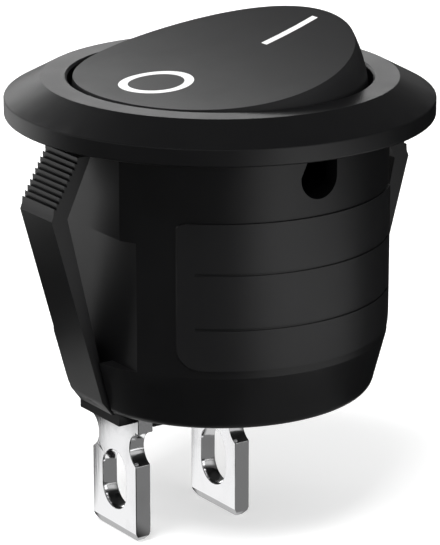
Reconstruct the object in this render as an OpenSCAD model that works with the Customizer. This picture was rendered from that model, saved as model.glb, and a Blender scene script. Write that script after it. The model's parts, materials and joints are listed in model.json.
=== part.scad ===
// Round snap-in panel rocker switch, single pole, two terminals.
// Frame: the origin is on the switch's axis in the plane of the panel's face,
// under the bezel. +Z points out of the panel, +X runs from the O end to the
// I end of the rocker, and the rocker turns about an axis along Y.
// Lengths are in millimetres and angles in degrees.

/* [Bezel] */
// Diameter of the bezel over its rim
bezel_d = 23; // [21:0.1:26]
// Height of the straight rim
rim_h = 1.01; // [0.6:0.01:1.4]
// Height of the bezel's face above the panel
bezel_h = 2.01; // [1.6:0.01:2.6]
// Width of the sloping band round the face
bezel_slope_w = 1.98; // [1.2:0.01:2.4]
// Radius of the bezel's outer edges
bezel_edge_r = 0.12; // [0.05:0.01:0.25]
// Gap between the rocker and the bore that it turns in
rocker_gap = 0.19; // [0.12:0.01:0.25]

/* [Barrel] */
// Diameter of the barrel behind the panel
barrel_d = 18.1; // [17.8:0.05:18.6]
// Depth of the barrel behind the panel
barrel_len = 15.12; // [14.6:0.02:17]
// Depth at which the barrel begins to narrow
barrel_taper_at = 12; // [11.4:0.05:12.6]
// Diameter of the barrel's end face, before its edge is rounded
barrel_end_d = 16.5; // [15.8:0.05:17.4]
// Radius of the barrel's end edge
barrel_end_r = 0.6; // [0.2:0.05:0.9]
// Thickness of the barrel's floor
floor_t = 1.4; // [1:0.05:1.8]
// Diameter of the contact chamber, which leaves a step that stops the skirt
chamber_d = 14; // [13.8:0.05:14.2]
// Gap between the step and the skirt's pressed end
stop_gap = 0.04; // [0.02:0.01:0.1]
// Width of the window under each pivot bearing
window_w = 2.26; // [1.8:0.02:2.6]
// Depth of the window's round end behind the panel
window_low_z = 2.75; // [2.2:0.05:3]
// Size of the window's slanting upper corner
window_corner = 0.66; // [0.3:0.02:0.9]
// Width of the post that stops the see-saw's short end
stop_w = 0.8; // [0.6:0.05:1]
// Height of the post above the short end's middle line
stop_rise = 0.3; // [0.2:0.01:0.32]
// Thickness of the ribs that back the terminals' necks
rib_t = 0.85; // [0.6:0.05:1]
// Height of those ribs
rib_h = 0.85; // [0.5:0.05:1]

/* [Snap arms] */
// Width of each snap arm
arm_w = 3.14; // [2.6:0.02:3.8]
// Reach of the arm's knee from the axis
arm_knee_x = 11.55; // [10.9:0.05:12]
// Depth of the knee behind the panel
arm_knee_z = 3.9; // [3.6:0.05:4.3]
// Depth of the arm's top end behind the panel
arm_top_z = 0.72; // [0.5:0.02:1]
// Reach of the arm's top end from the axis
arm_top_x = 9.8; // [9.6:0.05:10.2]
// Thickness of the arm at its knee
arm_t = 0.95; // [0.7:0.05:1.2]
// Thickness of the arm at its root
arm_root_t = 0.48; // [0.4:0.02:0.6]
// Number of steps that grip panels of different thickness
arm_steps = 10; // [6:1:12]
// Height of each step's sloping part, as a share of the step
step_slope = 0.8; // [0.6:0.05:0.9]
// Height between the last step and the knee
knee_land = 0.4; // [0.35:0.01:0.6]
// How far the last step stands inside the knee
knee_in = 0.15; // [0.12:0.01:0.2]
// Height of the bevel above the knee
knee_bevel_h = 0.3; // [0.2:0.01:0.34]
// Width of the bevel above the knee
knee_bevel_w = 0.12; // [0.08:0.01:0.12]
// Thickness of the arm at its top end
arm_top_t = 0.67; // [0.5:0.01:0.8]
// Height of the short bevel at the arm's heel
heel_bevel_h = 0.8; // [0.6:0.05:1]
// Width of the short bevel at the arm's heel
heel_bevel_w = 0.6; // [0.4:0.05:0.8]
// Width of the heel under the barrel
heel_w = 1; // [0.8:0.05:1.1]
// Width of the slot on each side of the arm's root
arm_slot = 0.16; // [0.1:0.01:0.3]
// Height of the foot under the arm's root
arm_foot_h = 0.6; // [0.4:0.05:1]
// Width of the foot
arm_foot_w = 3.84; // [3.2:0.02:4.4]
// Distance of the foot's outer face from the axis
arm_foot_x = 7.8; // [7.6:0.02:8]
// Distance of the arm's heel from the axis, at the barrel's end
arm_heel_x = 8.02; // [7.9:0.01:8.2]
// Distance of the flat behind the arm's top from the axis
upper_flat_x = 8.47; // [8.4:0.01:8.6]
// Distance of the flat behind the arm's lower part from the axis
lower_flat_x = 8.06; // [7.9:0.01:8.2]
// Depth at which the upper flat ends and the lower one begins
flat_step_z = 5; // [4.8:0.05:5.6]

/* [Rating plate] */
// Width of the raised bare plate, straight across
plate_w = 13.68; // [11:0.02:15]
// Depth of the plate's top edge behind the panel
plate_top_z = 3.65; // [3.3:0.05:4.2]
// Height of the plate
plate_h = 7.9; // [6:0.05:8.2]
// How far the plate stands out of the barrel
plate_t = 0.1; // [0.08:0.01:0.2]
// Radius of the plate's lower corners
plate_r = 1; // [0.5:0.05:1.5]
// Radius of the plate's upper corners
plate_top_r = 0.35; // [0.2:0.05:0.6]
// Width of the engraved rules that divide the plate
rule_w = 0.14; // [0.08:0.01:0.2]
// Distance from the plate's sides to the rules' ends
rule_inset = 0.65; // [0.4:0.05:1]
// Depth of the first rule below the plate's top edge
rule_1_z = 2.7; // [2.4:0.05:3]
// Depth of the second rule below the plate's top edge
rule_2_z = 5.65; // [5.2:0.05:6]
// Depth of the rules
rule_t = 0.067; // [0.04:0.001:0.08]

/* [Rocker] */
// Diameter of the ball that the rocker's sides are part of, about its pivot
ball_d = 15.88; // [15.7:0.02:16]
// Height of the middle of the rocker's top above the panel when level
rocker_h = 2.6; // [2.4:0.01:3]
// Radius of the hollow top
rocker_hollow_r = 39.4; // [36:0.1:70]
// Length of the skirt below the pivot
skirt_below = 1.6; // [1.2:0.05:1.8]
// Thickness of the skirt at the pivot
skirt_t = 1.3; // [1:0.05:1.6]
// Thickness of the rocker's top at its middle
rocker_top_t = 1.3; // [1:0.05:1.8]
// Turn of the rocker to each side of level
rocker_tilt = 9.88; // [8.5:0.02:10.2]
// Height of the pivot above the panel
pivot_h = 0.6; // [0.5:0.02:0.8]
// Diameter of the two pivot pins
pivot_d = 1.3; // [1.1:0.05:1.5]
// Gap round a pivot pin in its bearing, and at its end
pivot_gap = 0.075; // [0.04:0.005:0.1]
// Thickness of the webs that tie the boss to the skirt
web_t = 0.8; // [0.6:0.05:1]
// Depth of those webs below the pivot
web_below = 0.8; // [0.5:0.05:1]
// Wall that each blind bearing leaves inside the barrel's outer face
bearing_wall = 0.25; // [0.15:0.01:0.4]

/* [Marks] */
// Outer diameter of the O mark
off_mark_d = 3.98; // [3.4:0.02:4.4]
// Width of both marks' lines
mark_line_w = 0.5; // [0.4:0.02:0.8]
// Distance of the O mark's centre from the middle of the rocker
off_mark_x = 3.74; // [3.4:0.01:3.9]
// Length of the I mark
on_mark_len = 3.5; // [2.8:0.05:3.8]
// Distance of the I mark's centre from the middle of the rocker
on_mark_x = 5.01; // [4.7:0.01:5.3]
// Depth of the marks' inlay
mark_t = 0.3; // [0.15:0.01:0.5]

/* [Plunger] */
// Diameter of the plunger
plunger_d = 1.5; // [1.3:0.02:1.6]
// Diameter of the bore in the rocker that guides the plunger
plunger_bore_d = 1.66; // [1.62:0.01:1.8]
// Wall of the boss round that bore
boss_t = 0.95; // [0.7:0.05:1.2]
// Length of the boss below the pivot
boss_below = 6.7; // [6.2:0.05:7]
// Length of the plunger
plunger_len = 4.2; // [3.6:0.05:4.6]
// Length of the spigot that centres the spring on the plunger
spigot_len = 0.5; // [0.3:0.05:0.8]
// Gap round the spigot in the spring
spigot_gap = 0.1; // [0.06:0.01:0.15]
// Depth of the spring's seat below the hollow's roof
seat_t = 0.2; // [0.1:0.05:0.4]
// Gap between the plunger's tip and the see-saw under the pivot
tip_gap = 0.08; // [0.05:0.01:0.12]
// Diameter of the spring's wire
spring_wire_d = 0.26; // [0.18:0.01:0.3]
// Number of turns in the spring
spring_turns = 6; // [4:1:7]

/* [Contacts] */
// Depth of the see-saw's pivot behind the panel
fulcrum_z = 8.9; // [8.7:0.05:9.1]
// Turn of the see-saw to each side of level
bridge_tilt = 8; // [6:0.1:8.5]
// Width of the see-saw
bridge_w = 3; // [2.6:0.05:3.2]
// Thickness of the see-saw's strip
bridge_t = 0.5; // [0.4:0.02:0.55]
// Height of the strip's underside above its pivot
bridge_lift = 0.03; // [0:0.01:0.05]
// Slope of the see-saw's two cams under the plunger
cam_slope = 10.5; // [9:0.1:11]
// Distance from the pivot at which the cams end
cam_x = 1.95; // [1.8:0.05:2.1]
// Reach of the see-saw to its contact's centre
contact_x = 5.1; // [4.9:0.02:5.2]
// Reach of the see-saw's short end
bridge_short_x = 3.2; // [2.8:0.05:3.6]
// Radius of the bead that the see-saw rocks on
bead_r = 0.35; // [0.28:0.01:0.38]
// Gap round the bead in its groove
bead_gap = 0.06; // [0.04:0.005:0.08]
// Diameter of both contacts
contact_d = 2.2; // [1.8:0.05:2.4]
// Radius of the contacts' edges
contact_edge_r = 0.15; // [0.1:0.01:0.2]
// Rim of sheet that is left round a contact
contact_rim = 0.1; // [0.05:0.01:0.15]
// Thickness of the fixed contact
fixed_contact_t = 0.6; // [0.4:0.02:0.8]
// Thickness of the moving contact
moving_contact_t = 0.5; // [0.3:0.02:0.7]
// Gap that is left between the closed contacts
closed_gap = 0.04; // [0.02:0.005:0.08]

/* [Terminals] */
// Thickness of the terminals' sheet
tab_t = 0.93; // [0.75:0.01:1]
// Width of each tab
tab_w = 4.26; // [3.8:0.02:4.5]
// Width of each terminal's neck in the floor
neck_w = 4.8; // [4.6:0.02:5]
// Distance of the tab's end behind the panel
tab_end_z = 22.52; // [21.9:0.02:23.2]
// Distance of the load terminal from the axis
load_x = 6.44; // [6.4:0.01:6.5]
// Width of the solder slot
slot_w = 2.32; // [1.8:0.02:2.5]
// Length of the solder slot
slot_len = 3.34; // [3:0.02:3.5]
// Distance from the slot's end to the tab's end
slot_end_gap = 1.36; // [1:0.02:1.4]
// Depth of the waist notches' tops below the barrel
notch_drop = 1.12; // [1:0.05:1.3]
// Radius of the two waist notches
notch_r = 1; // [0.9:0.02:1.2]
// Depth of the two waist notches
notch_depth = 0.6; // [0.4:0.02:0.65]
// Size of the cut corners
tab_chamfer = 0.3; // [0.2:0.02:0.35]
// Height of the bevels at the tab's end
tip_bevel_h = 0.48; // [0.3:0.02:0.6]
// Width of the bevels at the tab's end
tip_bevel_w = 0.24; // [0.16:0.01:0.3]
// Radius of the load terminal's bend
bend_r = 0.35; // [0.25:0.05:0.5]
// Width of the horns beside the see-saw
horn_w = 0.35; // [0.3:0.01:0.4]
// Height of the horns above the pivot
horn_h = 0.75; // [0.6:0.05:0.9]
// Depth of the seat between the horns below the pivot
horn_seat = 0.1; // [0.05:0.01:0.15]
// Gap round a terminal in the floor's slot
tab_gap = 0.03; // [0.02:0.005:0.06]

/* [Hidden] */

$fn = 96;
// Overlap between pieces of one solid, and how far a cutter runs past it
eps = 0.02;
over = 1;

body_black = [0.07, 0.07, 0.075];
rocker_black = [0.12, 0.12, 0.13];
mark_white = [0.93, 0.93, 0.92];
brass = [0.78, 0.62, 0.33];
silver = [0.83, 0.83, 0.84];
steel = [0.62, 0.63, 0.66];

bezel_r = bezel_d / 2;
barrel_r = barrel_d / 2;
chamber_r = chamber_d / 2;
floor_z = -(barrel_len - floor_t);

// The rocker turns as part of a ball in a plain bore
ball_r = ball_d / 2;
bore_r = ball_r + rocker_gap;
skirt_bottom = pivot_h - skirt_below;
skirt_end_r = sqrt(ball_r * ball_r - skirt_below * skirt_below);
step_z = pivot_h - skirt_below * cos(rocker_tilt) - skirt_end_r * sin(rocker_tilt) - stop_gap;
// The pivot pins and their blind bearings end inside the bezel
bearing_end = barrel_r - bearing_wall;
pin_end = bearing_end - pivot_gap;

/* ---- shared shapes ---- */

// Points of an arc from angle a0 to a1 round (x, y)
function arc(x, y, r, a0, a1, n = 6) =
    [for (i = [0:n]) let (a = a0 + (a1 - a0) * i / n) [x + r * cos(a), y + r * sin(a)]];

// A block centred on X = 0 and Y = 0 between two heights
module slab(x, y, z0, z1) {
    translate([-x / 2, -y / 2, z0]) cube([x, y, z1 - z0]);
}

// A profile in X and Z given a width along Y
module along_y(w) {
    translate([0, w / 2, 0]) rotate([90, 0, 0]) linear_extrude(w) children();
}

// A profile in Y and Z given a thickness along X
module along_x(t) {
    translate([-t / 2, 0, 0]) rotate([90, 0, 90]) linear_extrude(t) children();
}

// The two sides along X: as drawn on the O side, and turned round
module both_ends() {
    children();
    rotate([0, 0, 180]) children();
}

/* ---- housing: bezel, barrel, snap arms and floor in one moulding ---- */

taper_in = (barrel_d - barrel_end_d) / 2;
taper_a = atan(taper_in / (barrel_len - barrel_taper_at));
// The rounded end edge touches the taper and the end face
end_arc_r = barrel_end_d / 2 - barrel_end_r * tan((90 - taper_a) / 2);

module housing_outside() {
    slope_r = bezel_r - bezel_slope_w;
    e = bezel_edge_r;
    rotate_extrude($fn = 180) polygon(concat(
        [[0, -barrel_len]],
        arc(end_arc_r, -barrel_len + barrel_end_r, barrel_end_r, -90, -taper_a, 8),
        [[barrel_r, -barrel_taper_at], [barrel_r, 0]],
        arc(bezel_r - e, e, e, -90, 0, 4),
        arc(bezel_r - e, rim_h - e, e, 0, 60, 4),
        arc(slope_r, bezel_h - e, e, 60, 90, 3),
        [[0, bezel_h]]
    ));
}

module housing_inside() {
    e = bezel_edge_r;
    translate([0, 0, step_z]) cylinder(r = bore_r, h = bezel_h + over - step_z);
    translate([0, 0, bezel_h - e]) cylinder(r1 = bore_r, r2 = bore_r + 2 * e, h = 2 * e);
    translate([0, 0, floor_z]) cylinder(r = chamber_r, h = -floor_z);
    // The load terminal's channel in the chamber's wall
    translate([-load_x, 0, 0]) slab(tab_t + 2 * tab_gap, tab_w + 2 * tab_gap, floor_z, step_z);
}

// Room for an arm to bend into: a shallow flat, a deeper and wider one below it,
// and a narrow slot that frees the arm's root
module arm_pocket() {
    reach = arm_knee_x + over;
    upper_half = sqrt(barrel_r * barrel_r - upper_flat_x * upper_flat_x) + eps;
    lower_half = sqrt(barrel_r * barrel_r - lower_flat_x * lower_flat_x) + eps;
    root_half = arm_w / 2 + arm_slot;
    translate([-reach, -upper_half, -flat_step_z])
        cube([reach - upper_flat_x, 2 * upper_half, flat_step_z - arm_top_z]);
    translate([-reach, -lower_half, -barrel_taper_at])
        cube([reach - lower_flat_x, 2 * lower_half, barrel_taper_at - flat_step_z]);
    translate([-reach, -root_half, floor_z - arm_slot])
        cube([reach - lower_flat_x, 2 * root_half, -floor_z + arm_slot - barrel_taper_at + eps]);
    for (s = [-1, 1])
        translate([-reach, s * (arm_w + arm_slot) / 2 - arm_slot / 2, -barrel_len - over])
            cube([reach - arm_heel_x, arm_slot, barrel_len + over - barrel_taper_at]);
}

// The arm in X and Z on the O side: steps above the knee, and a straight slope
// from the knee to the heel, where a short bevel turns it under the barrel
module arm_profile() {
    pitch = (arm_knee_z - arm_top_z - knee_land) / arm_steps;
    grow = (arm_knee_x - knee_in - arm_top_x) / arm_steps;
    bevel_x = arm_heel_x + heel_bevel_w;
    bevel_z = barrel_len - heel_bevel_h;
    slope = (arm_knee_x - bevel_x) / (bevel_z - arm_knee_z);
    root_x = bevel_x + slope * (bevel_z + floor_z) - arm_root_t;
    steps = [for (i = [0:arm_steps - 1]) each [
        [-(arm_top_x + grow * i), -(arm_top_z + pitch * i)],
        [-(arm_top_x + grow * (i + 1)), -(arm_top_z + pitch * (i + step_slope))]]];
    polygon(concat(
        steps,
        [[-(arm_knee_x - knee_bevel_w), -(arm_knee_z - knee_bevel_h)],
         [-arm_knee_x, -arm_knee_z],
         [-bevel_x, -bevel_z],
         [-arm_heel_x, -barrel_len],
         [-(arm_heel_x - heel_w), -barrel_len],
         [-(arm_heel_x - heel_w), floor_z - arm_slot - eps],
         [-root_x, floor_z - arm_slot],
         [-(arm_knee_x - arm_t), -arm_knee_z],
         [-(arm_top_x - arm_top_t), -arm_top_z]]
    ));
}

module snap_arm() {
    foot_end = load_x + tab_t / 2 + tab_gap;
    along_y(arm_w) arm_profile();
    translate([-arm_foot_x, -arm_foot_w / 2, -barrel_len - arm_foot_h])
        cube([arm_foot_x - foot_end, arm_foot_w, arm_foot_h + eps]);
}

module rounded_plate(w, h, r_low, r_high) {
    translate([r_low, 0]) square([w - 2 * r_low, h]);
    translate([0, r_low]) square([w, h - r_low - r_high]);
    translate([r_high, r_low]) square([w - 2 * r_high, h - r_low]);
    for (x = [r_low, w - r_low]) translate([x, r_low]) circle(r = r_low);
    for (x = [r_high, w - r_high]) translate([x, h - r_high]) circle(r = r_high);
}

// A bare raised plate with two engraved rules
module rating_plate() {
    plate_low = -plate_top_z - plate_h;
    difference() {
        intersection() {
            translate([0, 0, plate_low - over]) cylinder(r = barrel_r + plate_t, h = plate_h + 2 * over);
            translate([-plate_w / 2, 0, plate_low]) rotate([90, 0, 0]) linear_extrude(barrel_r + over)
                rounded_plate(plate_w, plate_h, plate_r, plate_top_r);
        }
        translate([0, 0, -barrel_len]) cylinder(r = barrel_r - 3 * plate_t, h = barrel_len);
        rule(-plate_top_z - rule_1_z);
        rule(-plate_top_z - rule_2_z);
    }
}

module rule(z) {
    rule_half = plate_w / 2 - rule_inset;
    intersection() {
        difference() {
            translate([0, 0, z - rule_w / 2]) cylinder(r = barrel_r + over, h = rule_w);
            translate([0, 0, z - over]) cylinder(r = barrel_r + plate_t - rule_t, h = 2 * over);
        }
        translate([-rule_half, -barrel_r - over, z - over]) cube([2 * rule_half, barrel_r + over, 2 * over]);
    }
}

// A rib on the floor's underside that backs a terminal's neck
module neck_rib(x) {
    translate([x + tab_t / 2 + tab_gap, -neck_w / 2, -barrel_len - rib_h])
        cube([rib_t, neck_w, rib_h + eps]);
}

// A post on the floor that stops the see-saw's short end
stop_x = bridge_short_x - stop_w / 2;
stop_top_z = stop_rise - fulcrum_z - stop_x * sin(bridge_tilt);
module bridge_stop() {
    translate([stop_x, 0, 0]) slab(stop_w, bridge_w, floor_z - eps, stop_top_z);
}

module terminal_slot(x) {
    translate([x, 0, 0])
        slab(tab_t + 2 * tab_gap, neck_w + 2 * tab_gap, -barrel_len - over, floor_z + eps);
}

// A blind bearing for one pivot pin, open to the bore
module pivot_bearing() {
    translate([0, -bearing_end, pivot_h]) rotate([-90, 0, 0])
        cylinder(d = pivot_d + 2 * pivot_gap, h = bearing_end - chamber_r);
}

// The window through the barrel's wall under the bearing: round at its lower
// end, with one upper corner slanting
module bearing_window() {
    half = window_w / 2;
    round_z = half - window_low_z;
    along = barrel_r + over - sqrt(chamber_r * chamber_r - half * half) + eps;
    translate([0, -barrel_r - over, 0]) rotate([-90, 0, 0]) linear_extrude(along) {
        translate([0, -round_z]) circle(r = half);
        polygon([[-half, -round_z], [-half, window_corner], [window_corner - half, 0],
                 [half, 0], [half, -round_z]]);
    }
}

module housing() {
    color(body_black) difference() {
        union() {
            difference() {
                housing_outside();
                housing_inside();
                both_ends() arm_pocket();
            }
            both_ends() snap_arm();
            rating_plate();
            neck_rib(0);
            neck_rib(-load_x);
            bridge_stop();
        }
        for (side = [0, 180]) rotate([0, 0, side]) {
            pivot_bearing();
            bearing_window();
        }
        terminal_slot(0);
        terminal_slot(-load_x);
    }
}

/* ---- rocker and its marks ---- */

// What is drawn level is turned to the O-down rest about the pivot
module rest_turn() {
    translate([0, 0, pivot_h]) rotate([0, -rocker_tilt, 0]) translate([0, 0, -pivot_h]) children();
}

// Everything above the hollow top, lowered by depth
module above_top(depth = 0) {
    translate([0, 0, rocker_h + rocker_hollow_r - depth]) rotate([90, 0, 0])
        cylinder(r = rocker_hollow_r, h = 2 * ball_d, center = true, $fn = 360);
}

module rocker() {
    hollow_top = rocker_h - rocker_top_t;
    skirt_in = ball_r - skirt_t;
    web_low = pivot_h - web_below;
    color(rocker_black) rest_turn() difference() {
        union() {
            difference() {
                translate([0, 0, pivot_h]) sphere(r = ball_r, $fn = 144);
                above_top();
                // Under the skirt, and the hollow inside it
                slab(ball_d + over, ball_d + over, pivot_h - ball_r - over, skirt_bottom);
                translate([0, 0, skirt_bottom - over])
                    cylinder(r = skirt_in, h = hollow_top - skirt_bottom + over);
            }
            // Boss for the plunger
            translate([0, 0, pivot_h - boss_below])
                cylinder(d = plunger_bore_d + 2 * boss_t, h = boss_below - pivot_h + hollow_top + eps);
            for (side = [0, 180]) rotate([0, 0, side]) {
                // A web that ties the boss to the skirt, and a pivot pin
                translate([-web_t / 2, -skirt_in - eps, web_low])
                    cube([web_t, skirt_in - boss_t, hollow_top - web_low + eps]);
                translate([0, -pin_end, pivot_h]) rotate([-90, 0, 0])
                    cylinder(d = pivot_d, h = pin_end - skirt_in - skirt_t / 2);
            }
        }
        translate([0, 0, pivot_h - boss_below - over])
            cylinder(d = plunger_bore_d, h = boss_below - pivot_h + over + spring_seat);
        mark_cut() off_mark_plan();
        mark_cut() on_mark_plan();
    }
}

module off_mark_plan() {
    translate([-off_mark_x, 0]) difference() {
        circle(d = off_mark_d);
        circle(d = off_mark_d - 2 * mark_line_w);
    }
}

module on_mark_plan() {
    translate([on_mark_x, 0]) square([on_mark_len, mark_line_w], center = true);
}

// A mark's plan, as deep as the inlay under the hollow top
module mark_cut() {
    intersection() {
        linear_extrude(2 * rocker_h) children();
        above_top(mark_t);
    }
}

module mark() {
    color(mark_white) rest_turn() difference() {
        mark_cut() children();
        above_top();
    }
}

module off_mark() { mark() off_mark_plan(); }
module on_mark() { mark() on_mark_plan(); }

/* ---- plunger and spring, drawn at rest in the tilted rocker ---- */

// Height of the spring's seat at the top of the bore
spring_seat = rocker_h - rocker_top_t - seat_t;
// The strip's top is lowest over the pivot
bridge_mid_z = bridge_t + bridge_lift;
plunger_tip_z = -fulcrum_z + bridge_mid_z + tip_gap;

module plunger() {
    r = plunger_d / 2;
    color(brass) rest_turn() {
        translate([0, 0, plunger_tip_z + r]) sphere(r = r, $fn = 48);
        translate([0, 0, plunger_tip_z + r]) cylinder(r = r, h = plunger_len - r);
        // A spigot centres the spring
        translate([0, 0, plunger_tip_z + plunger_len - eps])
            cylinder(d = plunger_d - 2 * (spring_wire_d + spigot_gap), h = spigot_len);
    }
}

module plunger_spring() {
    z0 = plunger_tip_z + plunger_len + spring_wire_d / 2;
    z1 = spring_seat - spring_wire_d / 2;
    sides = 6;
    steps = 14;
    n = steps * (spring_turns + 2);
    radius = (plunger_d - spring_wire_d) / 2;
    // One closed turn at each end, and an even pitch between
    function rise(t) = t < 1 ? 0.02 * t : t > spring_turns + 1 ? 1 - 0.02 * (spring_turns + 2 - t)
        : 0.02 + 0.96 * (t - 1) / spring_turns;
    pts = [for (i = [0:n]) let (t = i / steps, a = 360 * t, z = z0 + (z1 - z0) * rise(t))
        for (j = [0:sides - 1]) let (b = 360 * j / sides, q = radius + spring_wire_d / 2 * cos(b))
            [q * cos(a), q * sin(a), z + spring_wire_d / 2 * sin(b)]];
    faces = concat(
        [[for (j = [0:sides - 1]) j]],
        [for (i = [0:n - 1], j = [0:sides - 1]) let (a = i * sides + j, b = i * sides + (j + 1) % sides)
            [a, a + sides, b + sides, b]],
        [[for (j = [sides - 1:-1:0]) n * sides + j]]);
    color(steel) rest_turn() polyhedron(points = pts, faces = faces, convexity = 10);
}

/* ---- see-saw and contacts, drawn open: the short end down ---- */

module bridge_turn() {
    translate([0, 0, -fulcrum_z]) rotate([0, bridge_tilt, 0]) children();
}

// How high the cams stand where they meet the wings
cam_z = cam_x * tan(cam_slope);
// The contact wing rises outwards, so that it lies level when the contacts close
wing_end = contact_x + contact_d / 2 + contact_rim;
function wing_z(x) = bridge_mid_z + cam_z + (x - cam_x) * tan(bridge_tilt);

module contact_bridge() {
    top = [[-wing_end, wing_z(wing_end)], [-cam_x, wing_z(cam_x)], [0, bridge_mid_z],
           [cam_x, wing_z(cam_x)], [bridge_short_x, wing_z(cam_x)]];
    under = [for (i = [len(top) - 1:-1:0]) top[i] - [0, bridge_t]];
    color(brass) bridge_turn() {
        along_y(bridge_w) polygon(concat(top, under));
        rotate([90, 0, 0]) cylinder(r = bead_r, h = bridge_w, center = true, $fn = 48);
    }
}

// The closed contacts, from the see-saw's pivot: the moving one hangs level
// under its wing
wing_under_z = wing_z(contact_x) - bridge_t;
closed_x = -contact_x * cos(bridge_tilt) - wing_under_z * sin(bridge_tilt);
closed_z = wing_under_z * cos(bridge_tilt) - contact_x * sin(bridge_tilt);
load_leg_z = -fulcrum_z + closed_z - moving_contact_t - closed_gap - fixed_contact_t;

// A contact rivet's head, with its face turned down and its edge rounded
module contact_head(t) {
    r = contact_d / 2;
    e = contact_edge_r;
    rotate_extrude($fn = 64) polygon(concat(
        [[0, 0], [0, -t]], arc(r - e, -t + e, e, -90, 0, 4), [[r, 0]]));
}

module moving_contact() {
    color(silver) translate([0, 0, -fulcrum_z]) rotate([0, 2 * bridge_tilt, 0])
        translate([closed_x, 0, closed_z]) contact_head(moving_contact_t);
}

module fixed_contact() {
    color(silver) translate([closed_x, 0, load_leg_z]) mirror([0, 0, 1]) contact_head(fixed_contact_t);
}

/* ---- terminals ---- */

// The tab and neck in Y and Z, with waist notches, a solder slot and cut corners
module tab_plan(top_z) {
    c = tab_chamfer;
    half = tab_w / 2;
    neck_end = -barrel_len - notch_drop;
    notch_z = neck_end - notch_r;
    slot_low = -tab_end_z + slot_end_gap + slot_w / 2;
    slot_high = slot_low + slot_len - slot_w;
    difference() {
        union() {
            polygon([[-half + c, -tab_end_z], [half - c, -tab_end_z], [half, -tab_end_z + c],
                     [half, top_z], [-half, top_z], [-half, -tab_end_z + c]]);
            translate([-neck_w / 2, neck_end]) square([neck_w, floor_z - neck_end]);
        }
        for (s = [-1, 1]) translate([s * (half + notch_r - notch_depth), notch_z]) circle(r = notch_r);
        for (z = [slot_low, slot_high]) translate([0, z]) circle(d = slot_w);
        translate([-slot_w / 2, slot_low]) square([slot_w, slot_high - slot_low]);
    }
}

// The tab's sheet with both faces bevelled at its end
module tab(top_z) {
    half = tab_t / 2;
    bevel_z = tip_bevel_h - tab_end_z;
    intersection() {
        along_x(tab_t) tab_plan(top_z);
        along_y(neck_w + over) polygon([
            [-half - over, top_z + over], [-half - over, bevel_z], [-half, bevel_z],
            [-half + tip_bevel_w, -tab_end_z], [half - tip_bevel_w, -tab_end_z],
            [half, bevel_z], [half + over, bevel_z], [half + over, top_z + over]]);
    }
}

module load_terminal() {
    leg_end = closed_x + contact_d / 2 + contact_rim;
    x0 = -load_x - tab_t / 2;
    color(silver) {
        difference() {
            translate([-load_x, 0, 0]) tab(load_leg_z);
            translate([x0 - eps, -tab_w / 2 - over, load_leg_z - bend_r])
                cube([bend_r + eps, tab_w + 2 * over, bend_r + over]);
        }
        along_y(tab_w) polygon(concat(
            arc(x0 + bend_r, load_leg_z - bend_r, bend_r, 180, 90, 5),
            [[leg_end, load_leg_z], [leg_end, load_leg_z - tab_t], [x0 + bend_r, load_leg_z - tab_t]]));
    }
}

module common_terminal() {
    groove_r = bead_r + bead_gap;
    seat_w = tab_w - 2 * horn_w;
    color(silver) difference() {
        tab(-fulcrum_z + horn_h);
        // Seat between the horns, and the groove that the see-saw's bead rocks in
        slab(tab_t + over, seat_w, -fulcrum_z - horn_seat, -fulcrum_z + horn_h + over);
        translate([0, 0, -fulcrum_z]) rotate([90, 0, 0])
            cylinder(r = groove_r, h = seat_w, center = true, $fn = 48);
    }
}

housing();
rocker();
off_mark();
on_mark();
plunger();
plunger_spring();
contact_bridge();
moving_contact();
fixed_contact();
common_terminal();
load_terminal();
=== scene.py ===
"""A round panel rocker switch: finished surfaces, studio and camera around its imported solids."""

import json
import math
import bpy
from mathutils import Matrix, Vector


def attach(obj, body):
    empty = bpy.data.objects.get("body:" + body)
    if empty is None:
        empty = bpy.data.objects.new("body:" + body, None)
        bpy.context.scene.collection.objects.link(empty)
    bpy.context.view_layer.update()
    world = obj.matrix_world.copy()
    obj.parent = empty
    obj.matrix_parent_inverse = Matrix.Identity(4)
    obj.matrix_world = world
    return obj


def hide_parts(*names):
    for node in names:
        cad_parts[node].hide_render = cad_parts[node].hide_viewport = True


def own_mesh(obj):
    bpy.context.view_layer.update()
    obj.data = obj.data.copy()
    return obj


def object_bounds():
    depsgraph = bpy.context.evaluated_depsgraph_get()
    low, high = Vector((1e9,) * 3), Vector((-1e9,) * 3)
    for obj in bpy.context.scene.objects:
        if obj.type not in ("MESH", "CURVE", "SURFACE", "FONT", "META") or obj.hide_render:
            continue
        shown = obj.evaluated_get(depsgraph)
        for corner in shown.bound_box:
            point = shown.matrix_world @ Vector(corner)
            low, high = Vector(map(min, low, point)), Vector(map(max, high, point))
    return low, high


bl_info = {
    "name": "Panel rocker switch",
    "version": (1, 0, 0),
    "blender": (4, 5, 0),
    "location": "View3D > Sidebar > Switch",
    "description": "Dresses the solids of a round snap-in rocker switch and sets up its studio",
    "category": "Object",
}

import bmesh
import bpy
from bpy.props import FloatProperty, FloatVectorProperty, PointerProperty
from mathutils import Matrix, Vector

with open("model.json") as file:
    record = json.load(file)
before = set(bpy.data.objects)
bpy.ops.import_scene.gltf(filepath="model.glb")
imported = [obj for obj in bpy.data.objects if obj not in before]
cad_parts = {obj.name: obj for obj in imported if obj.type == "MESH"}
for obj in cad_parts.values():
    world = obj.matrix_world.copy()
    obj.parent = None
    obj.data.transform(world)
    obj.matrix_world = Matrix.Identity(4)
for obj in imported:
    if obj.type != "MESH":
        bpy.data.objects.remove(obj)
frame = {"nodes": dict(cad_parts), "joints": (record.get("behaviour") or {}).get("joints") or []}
CAD_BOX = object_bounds()
MM = 0.001
JOINTS = {joint["name"]: joint for joint in frame["joints"]}

# Corners closer than WELD are one; a corner within NEAR or ROUND_NEAR of a place lies there
WELD = 0.002 * MM
NEAR = 0.005 * MM
ROUND_NEAR = 0.004 * MM

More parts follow.
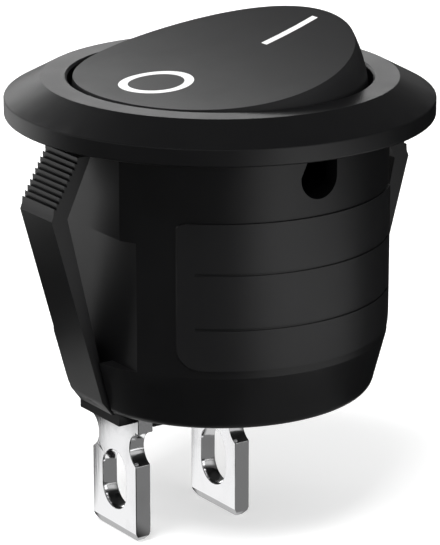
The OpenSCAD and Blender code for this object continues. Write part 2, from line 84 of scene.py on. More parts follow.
# Faces that meet at less than FLAT are one; edges over SHARP are rounded, over CREASE not smoothed
FLAT = math.radians(0.4)
SHARP = math.radians(24)
CREASE = math.radians(40)
# A cylinder's facet faces away from its axis to within this angle
FACING = math.radians(12)

# The barrel and its raised plate, the snap arms' steps and the windows, as the solids have them
BARREL_RADII = (9.05 * MM, 9.15 * MM)
STEP_COUNT = 10
STEP_TOP_X = 9.8 * MM
STEP_TOP_Z = 0.72 * MM
STEP_IN = 0.15 * MM
STEP_LAND = 0.4 * MM
KNEE_X = 11.55 * MM
KNEE_Z = 3.9 * MM
WINDOW_HALF = 1.13 * MM
WINDOW_CORNER = 0.66 * MM

# The rating plate is the only face at its radius, to within PLATE_REACH, that lies farther
# forward than PLATE_FRONT and lower than PLATE_TOP
PLATE_FRONT = 3.0 * MM
PLATE_TOP = 1.0 * MM
PLATE_FADE = 0.2 * MM
PLATE_REACH = (0.02 * MM, 0.06 * MM)

# How far the grain and the rolling lines stand out
GRAIN_DEPTH = 0.01 * MM

# How deep the groove along each step's foot is, and how far each window's corner is drawn down
STEP_GROOVE = 0.09 * MM
WINDOW_SLANT = 1.5 * MM

# The rocker's hollow top: its radius, and how far its axis stands over the pivot, measured along
# the plunger's slide, which is square to the top's middle
HOLLOW_RADIUS = 39.4 * MM
HOLLOW_RISE = 41.4 * MM
PIVOT = Vector(JOINTS["rocker_tilt"]["pos_m"])
PLUNGER_AXIS = Vector(JOINTS["plunger_slide"]["axis"])

# Directions over the floor and in the room
LEFT, RIGHT = (-1.0, 0.0, 0.0), (1.0, 0.0, 0.0)
FRONT, BACK = (0.0, -1.0, 0.0), (0.0, 1.0, 0.0)
UP, DOWN = (0.0, 0.0, 1.0), (0.0, 0.0, -1.0)
BACK_LEFT = (-0.566, 0.824, 0.0)
ACROSS = (0.824, 0.566, 0.0)
FRONT_RIGHT = (0.54, -0.84, 0.0)

# The floor's radius and its gap under the tabs
FLOOR_RADIUS = 2.5
FLOOR_GAP = 0.02 * MM
# What the camera sees on top of the floor's lit colour, so that the floor comes out white
FLOOR_LIFT = 0.45

# What gloss sees of the floor and the walls, over a least light that it finds anywhere. A zone is
# the product of its edges. An edge has a direction, the two distances along it between which the
# light rises, in millimetres from the switch's axis, and the light that it reaches, if not 1
FLOOR_GLOSS = 0.01
FLOOR_ZONES = (
    # Pale floor behind, past a dark gap that the arms' lower faces mirror
    (
        (BACK, -2.5, -1.9), (LEFT, -1.0, 0.4), (BACK_LEFT, 38.0, 47.0), (ACROSS, -28.0, -15.0),
        (ACROSS, 62.0, 32.0),
    ),
    # Half-lit floor far back
    ((BACK, 70.0, 110.0, 0.5), (RIGHT, 85.0, 55.0)),
    # Dim floor close in front of the tabs
    ((FRONT, 1.9, 2.5), (RIGHT, 14.0, 11.0), (RIGHT, -6.5, -5.0, 0.18)),
    # Bright floor far in front, for the barrel and its plate
    (
        (FRONT_RIGHT, 25.0, 34.0, 1.25), (RIGHT, -32.0, -12.0), (RIGHT, 62.0, 34.0),
        (FRONT, 17.0, 31.0),
    ),
    # Floor on the tabs' right
    ((RIGHT, 1.0, 2.0, 0.6), (RIGHT, 16.0, 12.0), (BACK, -2.5, -1.9)),
)
# Just behind the tabs, white strips that their faces mirror: ends along ACROSS, and a soft edge
STRIP_ZONE = ((BACK, -2.5, -1.9), (LEFT, -1.0, 0.4), (BACK_LEFT, 23.0, 20.0))
TAB_STRIPS = ((-7.2, -4.2), (-1.9, 1.1))
STRIP_FADE = 0.3
# The strips are dimmed by half under the tabs, for their bevelled ends: ends along RIGHT
FEET_ZONE = ((FRONT, -5.0, -4.0, -0.5),)
TAB_FEET = ((-7.1, -5.4), (-0.7, 0.9))

# On the walls the edges' distances are cosines of the angle from the direction, and the lightest
# zone counts: white behind, half-lit at the left, and half-lit in front but for the far right
WALL_GLOSS = 0.07
WALL_ZONES = (
    (((-0.1, 0.995, 0.0), 0.5, 0.72, 0.97),),
    ((LEFT, 0.3, 0.6, 0.45),),
    ((FRONT, -0.2, 0.3, 0.5), (RIGHT, 0.85, 0.62)),
)
# The walls' light is a band just above the floor
WALL_BAND = ((UP, 0.47, 0.26), (UP, 0.0, 0.06))

# Each lamp: its name, place, width, height and power, and whether gloss mirrors it
LAMPS = (
    ("Slope softbox", (-0.12, 0.42, 0.36), 0.16, 0.12, 0.12, True),
    ("Back strip", (0.16, 0.45, 0.12), 0.36, 0.05, 0.12, True),
    ("Top softbox", (-0.20, -0.10, 0.50), 0.30, 0.30, 3.0, False),
    ("Front softbox", (0.12, -0.55, 0.10), 0.4, 0.3, 1.5, False),
)


def colour(name, note, default):
    """A colour property."""
    return FloatVectorProperty(
        name=name, description=note, default=default, size=3, subtype="COLOR", min=0.0, max=1.0
    )


def length(name, note, default):
    """A length property, in metres."""
    return FloatProperty(
        name=name, description=note, default=default, min=0.0, unit="LENGTH", subtype="DISTANCE"
    )


def share(name, note, default):
    """A property between 0 and 1."""
    return FloatProperty(
        name=name, description=note, default=default, min=0.0, max=1.0, subtype="FACTOR"
    )


class SwitchMouldings(bpy.types.PropertyGroup):
    """Colours, gloss and edges of the housing, the rocker and the two marks."""

    housing: colour("Housing", "Nylon of the bezel, barrel and snap arms", (0.0042, 0.0042, 0.0045))
    housing_rough: share("Housing roughness", "Polish of the housing's mould", 0.36)
    housing_edge: length("Housing edge", "Rounding along the housing's edges", 0.06 * MM)
    plate: colour("Rating plate", "Raised plate on the barrel", (0.0074, 0.0074, 0.0078))
    rocker: colour("Rocker", "Nylon of the rocker", (0.0115, 0.0115, 0.012))
    rocker_rough: share("Rocker roughness", "Polish of the rocker's mould", 0.4)
    rocker_edge: length("Rocker edge", "Rounding along the rocker's edges", 0.09 * MM)
    mark: colour("Marks", "Inlay of the off and on marks", (0.86, 0.86, 0.85))
    grain: length("Grain", "Size of the spark-eroded grain", 0.09 * MM)


class SwitchMetals(bpy.types.PropertyGroup):
    """Colours and edges of the terminals and the parts inside."""

    plate: colour("Terminal plating", "Silver plating of the terminals", (0.88, 0.88, 0.89))
    plate_rough: share("Plating roughness", "Polish of the terminals", 0.12)
    tab_edge: length("Tab edge", "Rounding that the press leaves on a terminal", 0.12 * MM)
    brass: colour("Brass", "Bare brass of the plunger and the see-saw", (0.75, 0.53, 0.24))
    contact: colour("Contact facing", "Silver alloy of the rivets", (0.80, 0.80, 0.82))
    steel: colour("Spring steel", "Drawn wire of the plunger spring", (0.52, 0.53, 0.56))


class SwitchStudio(bpy.types.PropertyGroup):
    """Camera, lamps and floor."""

    azimuth: FloatProperty(
        name="Azimuth", description="Side the camera stands on", default=math.radians(-34.5),
        unit="ROTATION", subtype="ANGLE",
    )
    elevation: FloatProperty(
        name="Elevation", description="Height of the camera's view", default=math.radians(17.43),
        unit="ROTATION", subtype="ANGLE",
    )
    distance: length("Distance", "From the camera to its target", 172.0 * MM)
    target_z: FloatProperty(
        name="Target height", description="Height on the axis that the camera looks at",
        default=-9.045 * MM, unit="LENGTH", subtype="DISTANCE",
    )
    lens: FloatProperty(
        name="Lens", description="Focal length on a 36 mm sensor, in millimetres", default=210.0,
        min=20.0,
    )
    floor: colour("Floor", "Colour of the floor", (0.82, 0.82, 0.82))
    surround: share("Surround", "Brightness of the studio's walls on the part", 0.5)


# ---------------------------------------------------------------- meshes


def merged_copy(node, name, edge, shapes=(), rounds=None):
    """A copy of a CAD node's mesh, its triangles joined, reshaped, and its sharp edges rounded."""
    bm = bmesh.new()
    bm.from_mesh(frame["nodes"][node].data)
    bmesh.ops.remove_doubles(bm, verts=bm.verts, dist=WELD)
    bmesh.ops.dissolve_limit(
        bm, angle_limit=FLAT, use_dissolve_boundaries=False, verts=bm.verts, edges=bm.edges,
        delimit=set(),
    )
    for shape in shapes:
        shape(bm)
    if edge > 0.0:
        hard = [e for e in bm.edges if len(e.link_faces) == 2 and e.calc_face_angle(0.0) > SHARP]
        bmesh.ops.bevel(
            bm, geom=hard, offset=edge, offset_type="OFFSET", segments=2, profile=0.5,
            affect="EDGES", clamp_overlap=True, loop_slide=True, material=-1,
        )
    mesh = bpy.data.meshes.new(name)
    bm.to_mesh(mesh)
    bm.free()
    mesh.shade_smooth()
    mesh.set_sharp_from_angle(angle=CREASE)
    piece = bpy.data.objects.new(name, mesh)
    bpy.context.scene.collection.objects.link(piece)
    weights = piece.modifiers.new("Even shading", "WEIGHTED_NORMAL")
    weights.keep_sharp = True
    if rounds:
        round_shading(piece, *rounds)
    return piece


def round_shading(piece, radii, centre, along, side):
    """Gives facets at a radius from an axis a true cylinder's normals, outwards or inwards."""
    shaded = piece.evaluated_get(bpy.context.evaluated_depsgraph_get())
    mesh = bpy.data.meshes.new_from_object(shaded)
    piece.modifiers.clear()
    bare = piece.data
    piece.data = mesh
    bpy.data.meshes.remove(bare)
    mesh.name = piece.name
    centre, along = Vector(centre), Vector(along)
    normals = [corner.vector.copy() for corner in mesh.corner_normals]
    for face in mesh.polygons:
        reaches = [mesh.vertices[index].co - centre for index in face.vertices]
        ways = [reach - reach.dot(along) * along for reach in reaches]
        if all(
            min(abs(way.length - radius) for radius in radii) < ROUND_NEAR
            and face.normal.angle(side * way) < FACING
            for way in ways
        ):
            for loop, way in zip(face.loop_indices, ways):
                normals[loop] = side * way.normalized()
    mesh.normals_split_custom_set(normals)


def slant_windows(bm):
    """Draws down the slanting upper corner of each window, so that it shows below the bezel."""
    chamber_wall = 0.8 * BARREL_RADII[0]
    for vert in bm.verts:
        place = vert.co
        along = abs(place.x) - WINDOW_HALF + WINDOW_CORNER
        if (
            place.x * place.y > 0.0
            and math.hypot(place.x, place.y) > chamber_wall
            and 0.0 < along < WINDOW_CORNER + NEAR
            and abs(place.z + along) < NEAR
        ):
            place.z *= WINDOW_SLANT / WINDOW_CORNER


def square_steps(bm):
    """Turns the sloping steps of the snap arms into stairs, each with a groove along its foot."""
    pitch = (KNEE_Z - STEP_TOP_Z - STEP_LAND) / STEP_COUNT
    grow = (KNEE_X - STEP_IN - STEP_TOP_X) / STEP_COUNT
    for vert in bm.verts:
        reach = abs(vert.co.x) - STEP_TOP_X
        step = round(reach / grow)
        below = -vert.co.z - STEP_TOP_Z - pitch * (step - 1)
        if not 1 <= step <= STEP_COUNT or abs(reach - grow * step) >= NEAR:
            continue
        if NEAR < below < pitch - NEAR:
            # The top of the step's wall goes up to the foot of the wall above
            vert.co.z += below
        elif abs(below - pitch) < NEAR:
            vert.co.z -= STEP_GROOVE


def dress(node, name, edge, body, slot, material, **shaping):
    """Puts a finished copy of a CAD node in its place."""
    piece = merged_copy(node, name, edge, **shaping)
    piece.data.materials.append(material)
    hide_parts(node)
    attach(piece, body)
    return piece


def finish_node(node, material):
    """Gives a CAD node its material and leaves its mesh alone."""
    slots = frame["nodes"][node].material_slots
    for slot in slots:
        slot.link = "OBJECT"
        slot.material = material
    if not slots:
        raise RuntimeError(f"{node} has no material slot")


# ---------------------------------------------------------------- materials


# What each surface effect gives to its shader
EFFECT_OUTPUTS = (
    ("Colour", "NodeSocketColor"),
    ("Roughness", "NodeSocketFloat"),
    ("Height", "NodeSocketFloat"),
)


def new_group(name, inputs, outputs):
    """An empty shader node group with named sockets."""
    tree = bpy.data.node_groups.new(name, "ShaderNodeTree")
    for label, kind, default in inputs:
        socket = tree.interface.new_socket(name=label, in_out="INPUT", socket_type=kind)
        if default is not None:
            socket.default_value = default
    for label, kind in outputs:
        tree.interface.new_socket(name=label, in_out="OUTPUT", socket_type=kind)
    return tree, tree.nodes.new("NodeGroupInput"), tree.nodes.new("NodeGroupOutput")


def add(tree, kind, **settings):
    """A node with its settings; a dict under sockets sets the inputs' own values."""
    node = tree.nodes.new(kind)
    for key, value in settings.pop("sockets", {}).items():
        node.inputs[key].default_value = value
    for key, value in settings.items():
        setattr(node, key, value)
    return node


def noise(tree, vector, **sockets):
    """A noise node over a vector, with its inputs' own values."""
    node = add(tree, "ShaderNodeTexNoise", sockets=sockets)
    tree.links.new(vector, node.inputs["Vector"])
    return node


def mix_colours(tree, factor, start, end):
    """A colour between two others, by a factor."""
    blend = add(tree, "ShaderNodeMix", data_type="RGBA")
    tree.links.new(factor, blend.inputs["Factor"])
    tree.links.new(start, blend.inputs["A"])
    tree.links.new(end, blend.inputs["B"])
    return blend.outputs["Result"]


def ramp(tree, source, direction, near, far, top=1.0):
    """0 to top along a direction, between two distances from the origin."""
    along = add(tree, "ShaderNodeVectorMath", operation="DOT_PRODUCT", sockets={1: direction})
    tree.links.new(source, along.inputs[0])
    step = add(
        tree, "ShaderNodeMapRange", interpolation_type="SMOOTHSTEP",
        sockets={"From Min": near, "From Max": far, "To Max": top},
    )
    tree.links.new(along.outputs["Value"], step.inputs["Value"])
    return step.outputs["Result"]


def combine(tree, operation, *sources):
    """One value out of several by the same sum; a number may stand for a value."""
    total = sources[0]
    for source in sources[1:]:
        step = add(tree, "ShaderNodeMath", operation=operation)
        for socket, value in zip(step.inputs, (total, source)):
            if isinstance(value, (int, float)):
                socket.default_value = value
            else:
                tree.links.new(value, socket)
        total = step.outputs[0]
    return total


def zone(tree, source, edges, unit=1.0):
    """The product of several ramps, whose distances are in a unit."""
    ramps = [
        ramp(tree, source, direction, near * unit, far * unit, *top)
        for direction, near, far, *top in edges
    ]
    return combine(tree, "MULTIPLY", *ramps)


def moulded_grain():
    """Spark-eroded grain, flow mottle and rubbed spots of a moulding."""
    tree, given, out = new_group(
        "Moulded grain",
        [
            ("Vector", "NodeSocketVector", None),
            ("Grains per metre", "NodeSocketFloat", 11000.0),
            ("Colour", "NodeSocketColor", (0.01, 0.01, 0.01, 1.0)),
            ("Worn colour", "NodeSocketColor", (0.02, 0.02, 0.02, 1.0)),
            ("Roughness", "NodeSocketFloat", 0.4),
            ("Spread", "NodeSocketFloat", 0.06),
        ],
        EFFECT_OUTPUTS,
    )
    link = tree.links.new
    fine = noise(tree, given.outputs["Vector"], Detail=3.0, Roughness=0.6)
    link(given.outputs["Grains per metre"], fine.inputs["Scale"])
    broad = noise(tree, given.outputs["Vector"], Scale=420.0, Detail=4.0)
    mottle = mix_colours(
        tree, broad.outputs["Fac"], given.outputs["Colour"], given.outputs["Worn colour"]
    )
    link(mottle, out.inputs["Colour"])
    centred = add(tree, "ShaderNodeMath", operation="SUBTRACT", sockets={1: 0.5})
    link(broad.outputs["Fac"], centred.inputs[0])
    rough = add(tree, "ShaderNodeMath", operation="MULTIPLY_ADD")
    link(centred.outputs[0], rough.inputs[0])
    link(given.outputs["Spread"], rough.inputs[1])
    link(given.outputs["Roughness"], rough.inputs[2])
    link(rough.outputs[0], out.inputs["Roughness"])
    link(fine.outputs["Fac"], out.inputs["Height"])
    return tree


def drawn_metal():
    """Rolling lines, faint tarnish and a rubbed roughness on pressed or drawn metal."""
    tree, given, out = new_group(
        "Drawn metal",
        [
            ("Vector", "NodeSocketVector", None),
            ("Colour", "NodeSocketColor", (0.8, 0.8, 0.8, 1.0)),
            ("Tarnish", "NodeSocketColor", (0.6, 0.6, 0.6, 1.0)),
            ("Roughness", "NodeSocketFloat", 0.2),
            ("Spread", "NodeSocketFloat", 0.1),
        ],
        EFFECT_OUTPUTS,
    )
    link = tree.links.new
    stretch = add(tree, "ShaderNodeMapping", sockets={"Scale": (9000.0, 9000.0, 500.0)})
    link(given.outputs["Vector"], stretch.inputs["Vector"])
    lines = noise(tree, stretch.outputs["Vector"], Scale=1.0, Detail=3.0)
    cloud = noise(tree, given.outputs["Vector"], Scale=650.0, Detail=5.0)
    spots = add(
        tree, "ShaderNodeMapRange",
        sockets={"From Min": 0.52, "From Max": 0.78, "To Min": 0.0, "To Max": 1.0},
    )
    link(cloud.outputs["Fac"], spots.inputs["Value"])
    tarnished = mix_colours(
        tree, spots.outputs["Result"], given.outputs["Colour"], given.outputs["Tarnish"]
    )
    link(tarnished, out.inputs["Colour"])
    rough = add(tree, "ShaderNodeMath", operation="MULTIPLY_ADD")
    link(spots.outputs["Result"], rough.inputs[0])
    link(given.outputs["Spread"], rough.inputs[1])
    link(given.outputs["Roughness"], rough.inputs[2])
    link(rough.outputs[0], out.inputs["Roughness"])
    link(lines.outputs["Fac"], out.inputs["Height"])
    return tree


def rating_plate():
    """The raised plate's own tone, a little paler than the barrel's, masked by place."""
    tree, given, out = new_group(
        "Rating plate",
        [
            ("Vector", "NodeSocketVector", None),
            ("Colour", "NodeSocketColor", (0.01, 0.01, 0.01, 1.0)),
            ("Plate colour", "NodeSocketColor", (0.02, 0.02, 0.02, 1.0)),
        ],
        [("Colour", "NodeSocketColor")],
    )
    link = tree.links.new
    across = add(tree, "ShaderNodeVectorMath", operation="MULTIPLY", sockets={1: (1.0, 1.0, 0.0)})
    link(given.outputs["Vector"], across.inputs[0])
    radius = add(tree, "ShaderNodeVectorMath", operation="LENGTH")
    link(across.outputs["Vector"], radius.inputs[0])
    # The plate's radius is the larger one; anything past PLATE_REACH is a bezel or an arm
    barrel, plate = BARREL_RADII
    raised = add(
        tree, "ShaderNodeMapRange",
        sockets={"From Min": 0.5 * (barrel + plate), "From Max": plate},
    )
    link(radius.outputs["Value"], raised.inputs["Value"])
    inside = add(
        tree, "ShaderNodeMapRange",
        sockets={"From Min": plate + PLATE_REACH[1], "From Max": plate + PLATE_REACH[0]},
    )
    link(radius.outputs["Value"], inside.inputs["Value"])
    mask = combine(
        tree, "MULTIPLY", raised.outputs["Result"], inside.outputs["Result"],
        ramp(tree, given.outputs["Vector"], FRONT, PLATE_FRONT, PLATE_FRONT + PLATE_FADE),
        ramp(tree, given.outputs["Vector"], DOWN, PLATE_TOP, PLATE_TOP + PLATE_FADE),
    )
    toned = mix_colours(tree, mask, given.outputs["Colour"], given.outputs["Plate colour"])
    link(toned, out.inputs["Colour"])
    return tree


def paint_plate(material, rgb):
    """Puts the rating plate's tone over a material's own colour."""
    tree = material.node_tree
    colour_in = tree.nodes["Principled BSDF"].inputs["Base Color"]
    plate = add(tree, "ShaderNodeGroup", node_tree=rating_plate())
    plate.inputs["Plate colour"].default_value = opaque(rgb)
    place = add(tree, "ShaderNodeTexCoord")
    tree.links.new(place.outputs["Object"], plate.inputs["Vector"])
    tree.links.new(colour_in.links[0].from_socket, plate.inputs["Colour"])
    tree.links.new(plate.outputs["Colour"], colour_in)


def surface(name, group, values, relief, settings):
    """A material: one effect group into the Principled shader, with relief through a Bump node."""
    material = bpy.data.materials.new(name)
    material.use_nodes = True
    tree = material.node_tree
    shader = tree.nodes["Principled BSDF"]
    for key, value in settings.items():
        shader.inputs[key].default_value = value
    place = add(tree, "ShaderNodeTexCoord")
    effect = add(tree, "ShaderNodeGroup", node_tree=group)
    for key, value in values.items():
        effect.inputs[key].default_value = value
    tree.links.new(place.outputs["Object"], effect.inputs["Vector"])
    tree.links.new(effect.outputs["Colour"], shader.inputs["Base Color"])
    tree.links.new(effect.outputs["Roughness"], shader.inputs["Roughness"])
    bump = add(tree, "ShaderNodeBump", sockets={"Strength": relief, "Distance": GRAIN_DEPTH})
    tree.links.new(effect.outputs["Height"], bump.inputs["Height"])
    tree.links.new(bump.outputs["Normal"], shader.inputs["Normal"])
    return material


def opaque(rgb, factor=1.0):
    """An RGB value as a socket's four numbers, made lighter or darker by a factor."""
    return tuple(min(1.0, c * factor) for c in rgb) + (1.0,)


def effect_group(name, build):
    """The named node group, built the first time that it is asked for."""
    return bpy.data.node_groups.get(name) or build()


def nylon(name, rgb, rough, spread=0.08, specular=0.34, relief=0.25):
    """Moulded nylon."""
    group = effect_group("Moulded grain", moulded_grain)
    grain = bpy.context.scene.switch_mouldings.grain
    values = {
        "Grains per metre": 1.0 / grain,
        "Colour": opaque(rgb, 0.85),
        "Worn colour": opaque(rgb, 1.2),
        "Roughness": rough,
        "Spread": spread,
    }
    return surface(name, group, values, relief, {"Specular IOR Level": specular})


def metal(name, rgb, tarnish, rough, spread=0.12, relief=0.12):
    """Pressed, rolled or drawn metal."""
    group = effect_group("Drawn metal", drawn_metal)
    values = {
        "Colour": opaque(rgb),
        "Tarnish": opaque(rgb, tarnish),
        "Roughness": rough,
        "Spread": spread,
    }
    return surface(name, group, values, relief, {"Metallic": 1.0})


# ---------------------------------------------------------------- pieces


class SWITCH_OT_housing(bpy.types.Operator):
    """Bezel, barrel and snap arms in satin nylon"""

    bl_idname = "switch.housing"
    bl_label = "Housing"

    def execute(self, context):
        look = context.scene.switch_mouldings
        material = nylon("Housing nylon", look.housing, look.housing_rough)
        paint_plate(material, look.plate)
        dress(
            "housing", "housing_moulding", look.housing_edge, "housing", "housing_plastic", material,
            shapes=(square_steps, slant_windows),
            rounds=(BARREL_RADII, (0.0, 0.0, 0.0), (0.0, 0.0, 1.0), 1.0),
        )
        return {"FINISHED"}


class SWITCH_OT_rocker(bpy.types.Operator):
    """Rocker with its pivot pins in charcoal nylon"""

    bl_idname = "switch.rocker"
    bl_label = "Rocker"

    def execute(self, context):
        look = context.scene.switch_mouldings
        material = nylon("Rocker nylon", look.rocker, look.rocker_rough, specular=0.19)
        top_axis = PIVOT + HOLLOW_RISE * PLUNGER_AXIS
        dress(
            "rocker", "rocker_moulding", look.rocker_edge, "rocker", "rocker_plastic", material,
            rounds=((HOLLOW_RADIUS,), top_axis, (0.0, 1.0, 0.0), -1.0),
        )
        return {"FINISHED"}


class SWITCH_OT_marks(bpy.types.Operator):
    """Off and on marks in white inlay"""

    bl_idname = "switch.marks"
    bl_label = "Off and on marks"

    def execute(self, context):
        look = context.scene.switch_mouldings
        material = nylon("Mark inlay", look.mark, 0.4, relief=0.1)
        for node in ("off_mark", "on_mark"):
            finish_node(node, material)
        return {"FINISHED"}


class SWITCH_OT_terminals(bpy.types.Operator):
    """Both solder terminals in bright plating"""

    bl_idname = "switch.terminals"
    bl_label = "Terminals"

    def execute(self, context):
        look = context.scene.switch_metals
        material = metal("Terminal plating", look.plate, 0.93, look.plate_rough, spread=0.05)
        for node, name in (("load_terminal", "load_tab"), ("common_terminal", "common_tab")):
            dress(node, name, look.tab_edge, "housing", "terminal_plate", material)
        return {"FINISHED"}


class SWITCH_OT_mechanism(bpy.types.Operator):
    """Plunger, spring, see-saw and contacts inside the barrel"""

    bl_idname = "switch.mechanism"
    bl_label = "Mechanism"

    def execute(self, context):
        look = context.scene.switch_metals
        brass = metal("Pressed brass", look.brass, 0.7, 0.28)
        facing = metal("Contact silver", look.contact, 0.6, 0.34)
        wire = metal("Spring wire", look.steel, 0.8, 0.3)
        for node, material in (
            ("plunger", brass),
            ("contact_bridge", brass),
            ("moving_contact", facing),
            ("fixed_contact", facing),
        ):
            finish_node(node, material)
        # The spring rides with the rocker, on a mesh of its own
        coil = dress("plunger_spring", "plunger_coil", 0.0, "rocker", "spring_steel", wire)
        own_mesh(coil)
        return {"FINISHED"}


# ---------------------------------------------------------------- studio


def aim(thing, eye, target):
    """Places a camera or a lamp and turns it to a point."""
    turn = (Vector(target) - Vector(eye)).to_track_quat("-Z", "Y").to_matrix().to_4x4()
    thing.matrix_world = Matrix.Translation(eye) @ turn


def soft_lamp(name, eye, target, width, height, power, mirrored):
    """A rectangular softbox, seen in gloss or not."""
    data = bpy.data.lights.new(name, "AREA")
    data.shape = "RECTANGLE"
    data.size = width
    data.size_y = height
    data.energy = power
    lamp = bpy.data.objects.new(name, data)
    bpy.context.scene.collection.objects.link(lamp)
    lamp.visible_glossy = mirrored
    aim(lamp, eye, target)


def floor_gloss(tree, place):
    """What gloss sees of the floor: the lit zones, and the strips just behind the tabs."""

    def strips(direction, ends):
        lit = [
            zone(
                tree, place,
                ((direction, low - STRIP_FADE, low), (direction, high, high - STRIP_FADE)), MM,
            )
            for low, high in ends
        ]
        return combine(tree, "ADD", *lit)

    dimmed = combine(
        tree, "MULTIPLY", strips(RIGHT, TAB_FEET), zone(tree, place, FEET_ZONE, MM)
    )
    behind = combine(
        tree, "MULTIPLY", zone(tree, place, STRIP_ZONE, MM), strips(ACROSS, TAB_STRIPS),
        combine(tree, "ADD", 1.0, dimmed),
    )
    lit = [zone(tree, place, edges, MM) for edges in FLOOR_ZONES]
    return combine(tree, "ADD", FLOOR_GLOSS, behind, *lit)


def floor_material(rgb):
    """Pale floor that keeps its shadow, with its own brightness for gloss."""
    material = bpy.data.materials.new("Studio floor")
    material.use_nodes = True
    tree = material.node_tree
    shader = tree.nodes["Principled BSDF"]
    shader.inputs["Base Color"].default_value = opaque(rgb)
    shader.inputs["Roughness"].default_value = 1.0
    shader.inputs["Specular IOR Level"].default_value = 0.0
    shader.inputs["Emission Color"].default_value = (1.0, 1.0, 1.0, 1.0)
    rays = add(tree, "ShaderNodeLightPath")
    lift = add(tree, "ShaderNodeMath", operation="MULTIPLY", sockets={1: FLOOR_LIFT})
    tree.links.new(rays.outputs["Is Camera Ray"], lift.inputs[0])
    tree.links.new(lift.outputs[0], shader.inputs["Emission Strength"])
    place = add(tree, "ShaderNodeTexCoord").outputs["Object"]
    card = add(tree, "ShaderNodeEmission")
    tree.links.new(floor_gloss(tree, place), card.inputs["Strength"])
    pick = add(tree, "ShaderNodeMixShader")
    tree.links.new(rays.outputs["Is Glossy Ray"], pick.inputs["Fac"])
    tree.links.new(shader.outputs[0], pick.inputs[1])
    tree.links.new(card.outputs[0], pick.inputs[2])
    tree.links.new(pick.outputs[0], tree.nodes["Material Output"].inputs["Surface"])
    return material


def wall_gloss(tree):
    """What gloss sees of the walls: a pale band just above the floor, whitest at the back."""
    way = add(tree, "ShaderNodeTexCoord").outputs["Generated"]
    lit = combine(tree, "MAXIMUM", *(zone(tree, way, edges) for edges in WALL_ZONES))
    band = combine(tree, "MULTIPLY", lit, zone(tree, way, WALL_BAND))
    return combine(tree, "ADD", band, WALL_GLOSS)


def build_floor(rgb):
    """A round floor just under the tabs."""
    bm = bmesh.new()
    bmesh.ops.create_circle(bm, cap_ends=True, segments=96, radius=FLOOR_RADIUS)
    bmesh.ops.translate(bm, verts=bm.verts, vec=(0.0, 0.0, CAD_BOX[0][2] - FLOOR_GAP))
    mesh = bpy.data.meshes.new("studio_floor")
    bm.to_mesh(mesh)
    bm.free()
    floor = bpy.data.objects.new("studio_floor", mesh)
    bpy.context.scene.collection.objects.link(floor)
    floor.data.materials.append(floor_material(rgb))


def light_walls(surround):
    """Walls that are white to the camera, a plain light on the part, and zoned for gloss."""
    world = bpy.data.worlds.new("Studio surround")
    world.use_nodes = True
    bpy.context.scene.world = world
    tree = world.node_tree
    shade = tree.nodes["Background"]
    shade.inputs["Color"].default_value = (1.0, 1.0, 1.0, 1.0)
    rays = add(tree, "ShaderNodeLightPath")
    level = add(tree, "ShaderNodeMapRange", sockets={"To Min": surround, "To Max": 1.0})
    tree.links.new(rays.outputs["Is Camera Ray"], level.inputs["Value"])
    gloss = add(tree, "ShaderNodeMix", data_type="FLOAT")
    tree.links.new(rays.outputs["Is Glossy Ray"], gloss.inputs["Factor"])
    tree.links.new(level.outputs["Result"], gloss.inputs["A"])
    tree.links.new(wall_gloss(tree), gloss.inputs["B"])
    tree.links.new(gloss.outputs["Result"], shade.inputs["Strength"])


def place_camera(look, target):
    """The camera, set around its target by azimuth, elevation and distance."""
    data = bpy.data.cameras.new("Product camera")
    data.sensor_width = 36.0
    data.lens = look.lens
    data.clip_start = 0.01
    data.clip_end = 10.0
    camera = bpy.data.objects.new("Product camera", data)
    bpy.context.scene.collection.objects.link(camera)
    reach = look.distance * math.cos(look.elevation)
    eye = (
        reach * math.sin(look.azimuth),
        -reach * math.cos(look.azimuth),
        look.target_z + look.distance * math.sin(look.elevation),
    )
    aim(camera, eye, target)
    bpy.context.scene.camera = camera


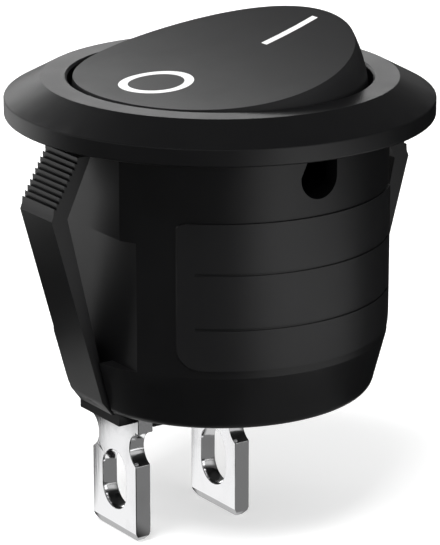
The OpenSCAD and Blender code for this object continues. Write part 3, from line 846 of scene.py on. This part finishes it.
class SWITCH_OT_stage(bpy.types.Operator):
    """Floor, surround, lamps and camera"""

    bl_idname = "switch.stage"
    bl_label = "Studio"

    def execute(self, context):
        look = context.scene.switch_studio
        context.scene.view_settings.view_transform = "Standard"
        build_floor(look.floor)
        light_walls(look.surround)
        middle = (0.0, 0.0, look.target_z)
        for name, place, width, height, power, mirrored in LAMPS:
            soft_lamp(name, place, middle, width, height, power, mirrored)
        place_camera(look, middle)
        return {"FINISHED"}


class SWITCH_PT_panel(bpy.types.Panel):
    """Lists the switch's settings and pieces"""

    bl_label = "Panel rocker switch"
    bl_idname = "SWITCH_PT_panel"
    bl_space_type = "VIEW_3D"
    bl_region_type = "UI"
    bl_category = "Switch"

    def draw(self, context):
        for settings in (
            context.scene.switch_mouldings,
            context.scene.switch_metals,
            context.scene.switch_studio,
        ):
            box = self.layout.box()
            for key in settings.__annotations__:
                box.prop(settings, key)
        for operator in OPERATORS:
            self.layout.operator(operator.bl_idname)


SETTINGS = (
    ("switch_mouldings", SwitchMouldings),
    ("switch_metals", SwitchMetals),
    ("switch_studio", SwitchStudio),
)
OPERATORS = (
    SWITCH_OT_housing,
    SWITCH_OT_rocker,
    SWITCH_OT_marks,
    SWITCH_OT_terminals,
    SWITCH_OT_mechanism,
    SWITCH_OT_stage,
)


def register():
    """Adds the settings, the operators and the panel."""
    for name, group in SETTINGS:
        bpy.utils.register_class(group)
        setattr(bpy.types.Scene, name, PointerProperty(type=group))
    for operator in OPERATORS:
        bpy.utils.register_class(operator)
    bpy.utils.register_class(SWITCH_PT_panel)


def unregister():
    """Takes away what register added."""
    bpy.utils.unregister_class(SWITCH_PT_panel)
    for operator in reversed(OPERATORS):
        bpy.utils.unregister_class(operator)
    for name, group in reversed(SETTINGS):
        delattr(bpy.types.Scene, name)
        bpy.utils.unregister_class(group)


def main():
    """Builds every piece and the studio."""
    register()
    bpy.ops.switch.stage()
    bpy.ops.switch.housing()
    bpy.ops.switch.rocker()
    bpy.ops.switch.marks()
    bpy.ops.switch.terminals()
    bpy.ops.switch.mechanism()


if __name__ == "__main__":
    main()
